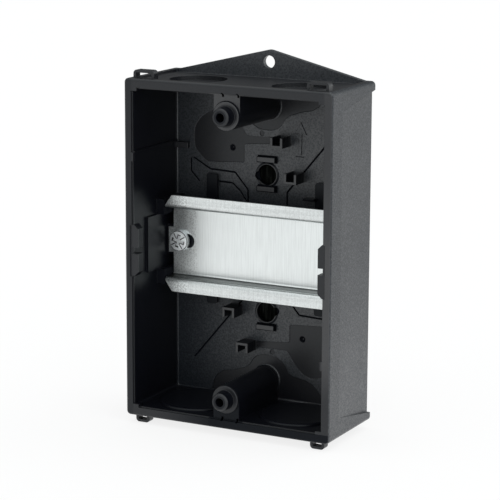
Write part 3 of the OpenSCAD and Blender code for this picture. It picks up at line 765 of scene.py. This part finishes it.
def screw_material(settings, name, shade=0.0):
    """Bright zinc-plated screw with a patchy plating, or a copy darkened as painted shade for its recess,
    face edge line and marks.
    """
    material, tree, shader = new_material(name)
    grain = use_group(tree, grain_group(), Size=settings.grain)
    handling = use_group(tree, handling_group(), Patch_size=settings.patch)
    dull, bright = (brighter(settings.colour, level * (1 - shade)) for level in SCREW_TONES)
    colour = mix_colour(handling.outputs["Patches"], dull, bright)
    link(colour, shader.inputs["Base Color"])
    rough = scaled(grain.outputs["Mask"], SCREW_UNEVEN, settings.roughness)
    link(rough, shader.inputs["Roughness"])
    fill(shader, Metallic=1.0)
    soft_normal(shader, SCREW_EDGE, grain.outputs["Height"], SCREW_GRAIN_DEPTH)
    return material


def floor_material(settings):
    """Pale matt floor; where it is seen directly or in a reflection, part of it is plain white."""
    material, tree, shader = new_material("pale_floor")
    cloud = add(tree, "ShaderNodeTexNoise", Scale=3.0, Detail=2.0)
    link(object_place(tree), cloud.inputs["Vector"])
    pale = settings.floor_colour
    colour = mix_colour(cloud.outputs["Fac"], brighter(pale, 0.995), pale)
    link(colour, shader.inputs["Base Color"])
    fill(shader, Roughness=0.9, Specular_IOR_Level=0.1)
    white = add(tree, "ShaderNodeEmission", Strength=1.0)
    ray = tree.nodes.new("ShaderNodeLightPath")
    seen = either(
        ray.outputs["Is Camera Ray"], ray.outputs["Is Glossy Ray"], ray.outputs["Is Transmission Ray"])
    mix = tree.nodes.new("ShaderNodeMixShader")
    link(scaled(seen, settings.floor_white), mix.inputs["Fac"])
    link(shader.outputs["BSDF"], mix.inputs[1])
    link(white.outputs["Emission"], mix.inputs[2])
    output = [node for node in tree.nodes if node.type == "OUTPUT_MATERIAL"][0]
    link(mix.outputs["Shader"], output.inputs["Surface"])
    return material


def put_material(item, material):
    """Gives an object one material in its first slot."""
    if item.material_slots:
        item.material_slots[0].material = material
    else:
        item.data.materials.append(material)


def new_object(name, bm, material):
    """New object in the scene from a bmesh, with one material."""
    mesh = bpy.data.meshes.new(name)
    bm.to_mesh(mesh)
    bm.free()
    item = bpy.data.objects.new(name, mesh)
    bpy.context.scene.collection.objects.link(item)
    put_material(item, material)
    return item


def mesh_object(name, bm, material, smooth_below=35):
    """New object from a bmesh that rides on the body; faces at a small angle are shaded as one."""
    bmesh.ops.recalc_face_normals(bm, faces=bm.faces)
    for face in bm.faces:
        face.smooth = True
    limit = math.radians(smooth_below)
    for edge in bm.edges:
        edge.smooth = len(edge.link_faces) == 2 and edge.calc_face_angle(0.0) < limit
    item = new_object(name, bm, material)
    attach(item, BODY)
    return item


def ring_of(bm, radius, height, segments):
    """Ring of vertices about Z, or one vertex on the axis."""
    if radius <= 0:
        return [bm.verts.new((0, 0, height))]
    steps = [2 * math.pi * step / segments for step in range(segments)]
    return [bm.verts.new((radius * math.cos(a), radius * math.sin(a), height)) for a in steps]


def join_rings(bm, lower, upper):
    """Faces between two rings, which are given back; a ring of one vertex closes to a point."""
    faces = []
    count = max(len(lower), len(upper))
    for step in range(count):
        after = (step + 1) % count
        corners = [lower[step % len(lower)], lower[after % len(lower)],
                   upper[after % len(upper)], upper[step % len(upper)]]
        corners = [vert for place, vert in enumerate(corners) if vert not in corners[:place]]
        if len(corners) > 2:
            faces.append(bm.faces.new(corners))
    return faces


def lathe(bm, profile, segments):
    """Turns a profile of radius and height about Z; gives the rings."""
    rings = [ring_of(bm, radius, height, segments) for radius, height in profile]
    for lower, upper in zip(rings, rings[1:]):
        join_rings(bm, lower, upper)
    return rings


def loop_edges(bm, ring):
    """Edges of a closed run of vertices."""
    edges = []
    for first, second in zip(ring, ring[1:] + ring[:1]):
        edges.append(bm.edges.get((first, second)) or bm.edges.new((first, second)))
    return edges


def plate(bm, outline, height, flank):
    """Low plate with sloping sides over an outline of points, its foot sunk a little."""
    area = sum(a.x * b.y - b.x * a.y for a, b in zip(outline, outline[1:] + outline[:1]))
    if area < 0:
        outline = outline[::-1]
    inner = []
    for place, here in enumerate(outline):
        before, after = outline[place - 1], outline[(place + 1) % len(outline)]
        ins, out = (here - before).normalized(), (after - here).normalized()
        side_in, side_out = Vector((-ins.y, ins.x)), Vector((-out.y, out.x))
        mitre = (side_in + side_out).normalized()
        inner.append(here + mitre * (flank / max(mitre.dot(side_out), 1 / MITRE_LIMIT)))
    foot = [bm.verts.new((point.x, point.y, -height / 2)) for point in outline]
    top = [bm.verts.new((point.x, point.y, height)) for point in inner]
    join_rings(bm, foot, top)
    bm.faces.new(top)
    bm.faces.new(foot[::-1])


class ENCLOSURE_OT_stage(bpy.types.Operator):
    """Make the camera, the floor and the sky"""

    bl_idname = "enclosure.stage"
    bl_label = "Stage"

    def execute(self, context):
        settings = context.scene.enclosure_stage
        self.make_camera(context, settings)
        self.make_floor(settings)
        self.make_sky(context, settings)
        context.scene.view_settings.view_transform = "Standard"
        return {"FINISHED"}

    def make_camera(self, context, settings):
        """Camera that looks at the part from the front right."""
        data = bpy.data.cameras.new("camera")
        data.lens = settings.lens
        data.sensor_width = 36
        data.clip_start = 0.01
        data.clip_end = 60
        camera = bpy.data.objects.new("camera", data)
        context.scene.collection.objects.link(camera)
        az, el = settings.azimuth, settings.elevation
        ahead = Vector((-math.sin(az) * math.cos(el), math.cos(az) * math.cos(el), -math.sin(el)))
        right = Vector((math.cos(az), math.sin(az), 0))
        up = right.cross(ahead)
        c, s = math.cos(settings.roll), math.sin(settings.roll)
        axes = Matrix((c * right + s * up, c * up - s * right, -ahead)).transposed()
        camera.matrix_world = Matrix.Translation(settings.place) @ axes.to_4x4()
        context.scene.camera = camera

    def make_floor(self, settings):
        """Wide pale floor under the part."""
        bm = bmesh.new()
        bmesh.ops.create_circle(bm, cap_ends=True, segments=96, radius=12)
        floor = new_object("floor", bm, floor_material(settings))
        floor.location.z = CAD_BOX[0][2] - FLOOR_GAP

    def make_sky(self, context, settings):
        """Soft studio light: bright overhead, softer towards the horizon, least behind the part."""
        world = bpy.data.worlds.new("studio")
        world.use_nodes = True
        context.scene.world = world
        tree = world.node_tree
        tree.nodes.clear()
        output = tree.nodes.new("ShaderNodeOutputWorld")
        light = add(tree, "ShaderNodeBackground", Color=(*settings.sky_colour, 1))
        link(light.outputs["Background"], output.inputs["Surface"])
        way = tree.nodes.new("ShaderNodeSeparateXYZ")
        link(tree.nodes.new("ShaderNodeTexCoord").outputs["Generated"], way.inputs["Vector"])
        rise = math_node("POWER", math_node("MAXIMUM", way.outputs["Z"], 0.0), SKY_RISE)
        ahead = scaled(way.outputs["Y"], -1.0)
        front = map_range(ahead, *SKY_FRONT_FADE, settings.sky_back, settings.sky_front)
        side = map_range(way.outputs["X"], *SKY_SIDE_FADE, 0.0, settings.sky_side)
        low = either(front, side)
        gain = math_node("SUBTRACT", settings.sky_top, low)
        link(scaled(rise, gain, low), light.inputs["Strength"])


class ENCLOSURE_OT_base(bpy.types.Operator):
    """Finish the moulded base, with painted light and shade in its sheen"""

    bl_idname = "enclosure.base"
    bl_label = "Moulded base"

    def execute(self, context):
        put_material(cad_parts[BASE], plastic_material(context.scene.enclosure_base))
        return {"FINISHED"}


class ENCLOSURE_OT_rail(bpy.types.Operator):
    """Finish the folded rail, with painted shade on its flanks"""

    bl_idname = "enclosure.rail"
    bl_label = "Mounting rail"

    def execute(self, context):
        put_material(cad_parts[RAIL], zinc_material(context.scene.enclosure_rail))
        return {"FINISHED"}


class ENCLOSURE_OT_screws(bpy.types.Operator):
    """Make the two rail screws"""

    bl_idname = "enclosure.screws"
    bl_label = "Rail screws"

    def execute(self, context):
        settings = context.scene.enclosure_screws
        seat = SCREW_LOW.y * MM + settings.head_h
        side = (SCREW_SIZE.x - SCREW_SIZE.z) * MM / 2
        length = SCREW_SIZE.y * MM - settings.head_h
        whole = bmesh.new()
        for place, turn in ((-side, settings.slot_turn), (side, settings.right_turn)):
            bm = bmesh.new()
            self.add_head(bm, settings)
            self.add_shank(bm, settings, length)
            bm.transform(Matrix.Translation((place, seat, 0)) @ UPRIGHT @ Matrix.Rotation(turn, 4, "Z"))
            part = bpy.data.meshes.new("screw")
            bm.to_mesh(part)
            bm.free()
            whole.from_mesh(part)
            bpy.data.meshes.remove(part)
        plating = screw_material(settings, "zinc_screw_plating")
        item = mesh_object("pan_head_screws", whole, plating)
        # Second material: the plating darkened as painted shade, for the recess, the face's edge line and
        # the marks
        item.data.materials.append(screw_material(settings, "zinc_screw_painted_shade", settings.recess_shade))
        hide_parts(SCREWS)
        return {"FINISHED"}

    def add_head(self, bm, settings):
        """Head with a round edge and a domed face with a sunk cross and four thin marks."""
        side, top, edge, crown = settings.head_d / 2, settings.head_h, settings.head_edge, settings.crown
        chamfer, margin = 0.1 * MM, 0.2 * MM

        def dome(x, y=0.0):
            """Height of the domed face at a place."""
            return top - crown * (x * x + y * y) / (side * side)

        profile = [(settings.core_d / 2, 0), (side - chamfer, 0), (side, chamfer)]
        for step in range(7):
            angle = math.radians(90 * step / 6)
            rise = dome(side - edge) - edge + edge * math.sin(angle)
            profile.append((side - edge + edge * math.cos(angle), rise))
        reach = settings.slot_len / 2 + margin
        for step in (1, 2):
            radius = side - edge + (reach - side + edge) * step / 2
            profile.append((radius, dome(radius)))
        rings = lathe(bm, profile, settings.segments)
        # Painted shade: a dark line runs round the face's edge
        for vert in rings[6] + rings[7]:
            for face in vert.link_faces:
                face.material_index = 1
        self.add_cross(bm, settings, dome, rings[-1])
        for step in range(4):
            self.add_mark(bm, settings, dome, math.radians(45 + 90 * step))

    def add_cross(self, bm, settings, dome, around_it):
        """Sunk cross with a longer slot, in the face inside a ring of vertices."""
        half_w, long, short = settings.slot_w / 2, settings.slot_len / 2, settings.cross_len / 2
        knee = half_w + settings.knee
        arm = [(long, -half_w), (long, half_w), (knee, half_w), (half_w, knee)]
        arm += [(half_w, short), (-half_w, short), (-half_w, knee), (-knee, half_w)]
        outline = arm + [(-x, -y) for x, y in arm]
        floor, foot = settings.head_h - settings.slot_depth, settings.slot_foot
        rim = [bm.verts.new((x, y, dome(x, y))) for x, y in outline]
        deep = [bm.verts.new((x * foot, y * foot, floor)) for x, y in outline]
        bmesh.ops.triangle_fill(
            bm, use_beauty=True, edges=loop_edges(bm, around_it) + loop_edges(bm, rim), normal=(0, 0, 1))
        # The recess walls get the painted shade
        for face in join_rings(bm, deep, rim):
            face.material_index = 1
        bm.faces.new(deep)

    def add_mark(self, bm, settings, dome, angle):
        """Thin mark on the face between two arms of the cross, coloured dark with the painted shade."""
        along = Vector((math.cos(angle), math.sin(angle)))
        across = Vector((-along.y, along.x)) * settings.mark_w / 2
        near = MARK_NEAR * settings.slot_w / 2 * along
        far = (settings.head_d / 2 - MARK_FAR * settings.head_edge) * along
        corners = [near - across, far - across, far + across, near + across]
        foot, line = (
            [bm.verts.new((*point, dome(*point) + lift)) for point in corners]
            for lift in (-0.05 * MM, settings.mark_h))
        for face in join_rings(bm, foot, line) + [bm.faces.new(line)]:
            face.material_index = 1

    def add_shank(self, bm, settings, length):
        """Shank with a helical thread that runs out at the tip."""
        core, crest, segments = settings.core_d / 2, settings.thread_d / 2, settings.segments // 2
        tip, run_out, turn_steps = 0.55, 1.2 * settings.pitch, 8
        steps = int(length / settings.pitch * turn_steps)
        rings = []
        for step in range(steps + 1):
            down = length * step / steps
            taper = min(1.0, (length - down) / run_out)
            ring = []
            for place in range(segments):
                angle = 2 * math.pi * place / segments
                phase = (down / settings.pitch + place / segments) % 1.0
                ridge = max(0.0, 1 - abs(phase - 0.5) * 4) * taper
                radius = core * (tip + (1 - tip) * taper) + (crest - core) * ridge
                ring.append(bm.verts.new((radius * math.cos(angle), radius * math.sin(angle), -down)))
            rings.append(ring)
        for upper, lower in zip(rings, rings[1:]):
            join_rings(bm, lower, upper)
        bm.faces.new(rings[-1])
        bm.faces.new(rings[0])


class ENCLOSURE_OT_sockets(bpy.types.Operator):
    """Make the near-black skins that paint the shade in the two blind sockets"""

    bl_idname = "enclosure.sockets"
    bl_label = "Socket skins"

    def execute(self, context):
        settings = context.scene.enclosure_sockets
        skin, outer = settings.skin, settings.bore_d / 2
        inner = outer - settings.wall_t
        floor, rim = skin + settings.wall_t, skin + settings.wall_h
        profile = [(0, skin), (outer, skin), (outer, rim), (inner, rim), (inner, floor), (0, floor)]
        bm = bmesh.new()
        for up in (settings.rise, -settings.rise):
            rings = lathe(bm, profile, settings.segments)
            verts = [vert for ring in rings for vert in ring]
            bmesh.ops.transform(bm, matrix=Matrix.Translation((0, 0, up)) @ UPRIGHT, verts=verts)
        mesh_object("socket_shade_skins", bm, socket_shade_material(settings))
        return {"FINISHED"}


class ENCLOSURE_OT_pads(bpy.types.Operator):
    """Make the round rims of the four pads behind the knock-outs"""

    bl_idname = "enclosure.pads"
    bl_label = "Pad rims"

    def execute(self, context):
        settings = context.scene.enclosure_pads
        outer, round_w = settings.outer_d / 2, settings.round_w
        inner = outer - settings.rim_w
        profile = [(outer, -settings.sunk)]
        for step in range(9):
            angle = math.radians(90 * step / 8)
            profile.append((outer - round_w * (1 - math.cos(angle)), settings.height * math.sin(angle)))
        profile += [(inner, settings.pad_h), (inner, -settings.sunk)]
        bm = bmesh.new()
        for end, turn in ((-1, 0), (1, math.pi)):
            for side in (-1, 1):
                rings = lathe(bm, profile, settings.segments)
                join_rings(bm, rings[-1], rings[0])
                verts = [vert for ring in rings for vert in ring]
                centre = (side * settings.pitch / 2, -settings.depth, end * settings.rise)
                place = Matrix.Translation(centre) @ Matrix.Rotation(turn, 4, "X")
                bmesh.ops.transform(bm, matrix=place, verts=verts)
        mesh_object("pad_rims", bm, bpy.data.materials["black_plastic_moulded"], 40)
        return {"FINISHED"}


class ENCLOSURE_OT_arrow(bpy.types.Operator):
    """Make the raised arrow on the back wall"""

    bl_idname = "enclosure.arrow"
    bl_label = "Raised arrow"

    def execute(self, context):
        settings = context.scene.enclosure_arrow
        barb, shaft, foot = settings.head_w / 2, settings.shaft_w / 2, settings.foot_w / 2
        head, neck, end = -settings.head_len, -settings.neck_len, -settings.length
        right = [(barb, head), (shaft, neck), (shaft, end)]
        arrow = [(0, 0)] + right + [(-x, y) for x, y in right[::-1]]
        top, bottom = end - settings.foot_gap, end - settings.foot_gap - settings.foot_h
        base = [(foot, top), (foot, bottom), (-foot, bottom), (-foot, top)]
        bm = bmesh.new()
        for outline in (arrow, base):
            plate(bm, [Vector(point) for point in outline], settings.height, settings.flank)
        place = Matrix.Translation((settings.tip_right, -settings.wall, settings.tip_up))
        bm.transform(place @ UPRIGHT @ Matrix.Rotation(settings.lean, 4, "Z"))
        mesh_object("raised_arrow", bm, bpy.data.materials["black_plastic_moulded"], 20)
        return {"FINISHED"}


class ENCLOSURE_PT_panel(bpy.types.Panel):
    """Pieces and finishes of the switch enclosure"""

    bl_label = "Switch enclosure"
    bl_idname = "ENCLOSURE_PT_panel"
    bl_space_type = "VIEW_3D"
    bl_region_type = "UI"
    bl_category = "Enclosure"

    def draw(self, context):
        layout = self.layout
        for step in SETTINGS:
            layout.operator(f"enclosure.{step}")
            group = getattr(context.scene, f"enclosure_{step}")
            for key in group.bl_rna.properties.keys():
                if key not in ("rna_type", "name"):
                    layout.prop(group, key)


SETTINGS = {
    "stage": StageSettings,
    "base": PlasticSettings,
    "rail": RailSettings,
    "screws": ScrewSettings,
    "sockets": SocketSettings,
    "pads": PadSettings,
    "arrow": ArrowSettings,
}
CLASSES = (
    ENCLOSURE_OT_stage, ENCLOSURE_OT_base, ENCLOSURE_OT_rail, ENCLOSURE_OT_screws, ENCLOSURE_OT_sockets,
    ENCLOSURE_OT_pads, ENCLOSURE_OT_arrow, ENCLOSURE_PT_panel,
)


def register():
    """Registers the settings, the operators and the panel."""
    for step, group in SETTINGS.items():
        bpy.utils.register_class(group)
        setattr(bpy.types.Scene, f"enclosure_{step}", PointerProperty(type=group))
    for item in CLASSES:
        bpy.utils.register_class(item)


def unregister():
    """Takes them out again."""
    for item in reversed(CLASSES):
        bpy.utils.unregister_class(item)
    for step, group in reversed(SETTINGS.items()):
        delattr(bpy.types.Scene, f"enclosure_{step}")
        bpy.utils.unregister_class(group)


def main():
    """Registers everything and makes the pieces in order."""
    register()
    bpy.ops.enclosure.stage()
    bpy.ops.enclosure.base()
    bpy.ops.enclosure.rail()
    bpy.ops.enclosure.screws()
    bpy.ops.enclosure.sockets()
    bpy.ops.enclosure.pads()
    bpy.ops.enclosure.arrow()


if __name__ == "__main__":
    main()
